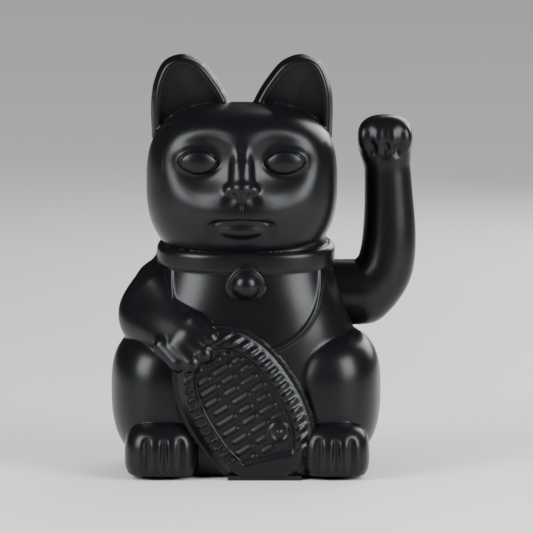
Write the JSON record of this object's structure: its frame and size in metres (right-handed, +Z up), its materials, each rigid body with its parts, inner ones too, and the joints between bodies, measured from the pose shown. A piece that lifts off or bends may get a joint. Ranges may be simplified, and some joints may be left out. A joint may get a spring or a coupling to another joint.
{
  "type": "beckoning cat figurine",
  "caption": "Seated cat figurine in black plastic holding an oval coin, with a battery-driven arm that swings to and fro beside its head.",
  "frame": {"origin": "on the table, at the middle of the torso's base", "axes": "+Z up, -Y the way the cat faces, +X towards its swinging arm (the viewer's right)"},
  "size_m": [0.1115, 0.0818, 0.1496],
  "materials": {
    "shell_plastic": "fine satin-matt black moulded plastic",
    "base_plastic": "matt black moulded plastic",
    "frame_plastic": "natural off-white moulded plastic",
    "lever_plastic": "light grey moulded plastic",
    "hub_plastic": "black moulded plastic",
    "switch_plastic": "black switch plastic",
    "slider_plastic": "white slider plastic",
    "steel": "plain ground steel",
    "contact_metal": "nickel-plated spring steel",
    "bush_brass": "turned brass",
    "winding_copper": "lacquered copper wire",
    "board_laminate": "green solder mask",
    "chip_plastic": "black moulding compound",
    "capacitor_can": "sleeved aluminium can",
    "bobbin_plastic": "natural nylon",
    "magnet_plating": "nickel-plated magnet",
    "cell_sleeve": "plain sleeved cell can",
    "lead_red": "red wire insulation",
    "lead_black": "black wire insulation",
    "screw_steel": "zinc-plated steel"
  },
  "bodies": {
    "body": {"front_shell": "shell_plastic", "rear_shell": "shell_plastic", "base_plate": "base_plastic", "mechanism_frame": "frame_plastic", "bush_left": "bush_brass", "bush_right": "bush_brass", "circuit_board": "board_laminate", "drive_chip": "chip_plastic", "capacitor": "capacitor_can", "resistors": "chip_plastic", "coil_bobbin": "bobbin_plastic", "coil_winding": "winding_copper", "coil_leads": "winding_copper", "battery_cell": "cell_sleeve", "battery_spring": "contact_metal", "contact_positive": "contact_metal", "contact_negative": "contact_metal", "switch_body": "switch_plastic", "lead_cell_to_switch": "lead_black", "lead_switch_to_board": "lead_black", "lead_cell_to_board": "lead_red", "base_screws": "screw_steel", "frame_screws": "screw_steel", "board_screws": "screw_steel"},
    "beckoning_arm": {"arm_front_half": "shell_plastic", "arm_rear_half": "shell_plastic", "arm_hub": "hub_plastic", "axle": "steel", "axle_clips": "contact_metal", "pendulum_lever": "lever_plastic", "counterweight": "steel", "magnet": "magnet_plating"},
    "door": {"battery_door": "base_plastic"},
    "slider": {"switch_slider": "slider_plastic"}
  },
  "joints": [
    {"name": "arm_swing", "type": "hinge", "parent": "body", "child": "beckoning_arm", "pos_m": [0.03, 0.004, 0.063], "axis": [1, 0, 0], "range_deg": [-25, 25]},
    {"name": "battery_door_hinge", "type": "hinge", "parent": "body", "child": "door", "pos_m": [-0.0312, 0, 0.00105], "axis": [0, 1, 0], "range_deg": [0, 95]},
    {"name": "switch_slide", "type": "slide", "parent": "body", "child": "slider", "axis": [1, 0, 0], "range_m": [0, 0.003]}
  ]
}
